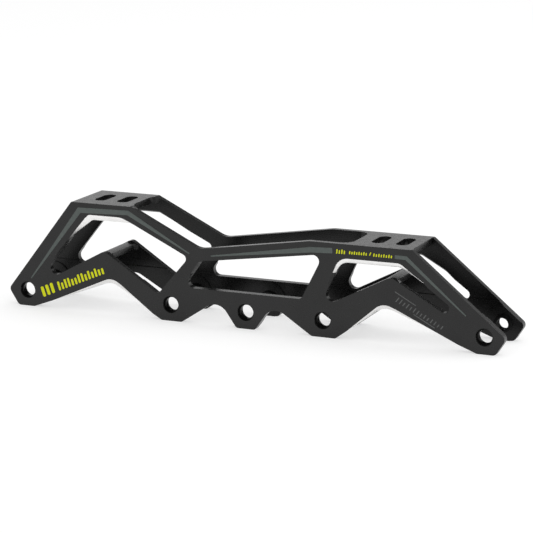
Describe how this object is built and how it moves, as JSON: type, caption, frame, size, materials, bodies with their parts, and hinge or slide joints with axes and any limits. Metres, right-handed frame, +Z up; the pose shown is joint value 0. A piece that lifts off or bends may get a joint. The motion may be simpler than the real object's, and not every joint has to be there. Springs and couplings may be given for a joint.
{
  "type": "inline skate frame",
  "caption": "Bare inline skate frame with windowed side walls that carry the wheel axles, a raised heel deck and a lower toe deck slotted for boot bolts.",
  "frame": {"origin": "on the floor under the middle axle, half way between the two walls", "axes": "+X from heel to toe, +Z up, Y along the axles; axle heads are on the -Y side"},
  "size_m": [0.3193, 0.0384, 0.0676],
  "materials": {
    "black_anodised": "satin",
    "bush_black": "satin",
    "insert_black": "satin",
    "stripe_grey": "satin"
  },
  "bodies": {
    "root": {"near_rail": "black_anodised", "far_rail": "black_anodised", "heel_deck": "black_anodised", "toe_deck": "black_anodised", "rear_bridge": "black_anodised", "front_bridge": "black_anodised", "near_bush_1": "bush_black", "far_insert_1": "insert_black", "near_bush_2": "bush_black", "far_insert_2": "insert_black", "near_bush_3": "bush_black", "far_insert_3": "insert_black", "near_bush_4": "bush_black", "far_insert_4": "insert_black", "near_bush_5": "bush_black", "far_insert_5": "insert_black", "near_heel_stripe": "stripe_grey", "near_mid_stripe": "stripe_grey", "near_toe_stripe": "stripe_grey", "far_heel_stripe": "stripe_grey", "far_mid_stripe": "stripe_grey", "far_toe_stripe": "stripe_grey"}
  },
  "joints": []
}
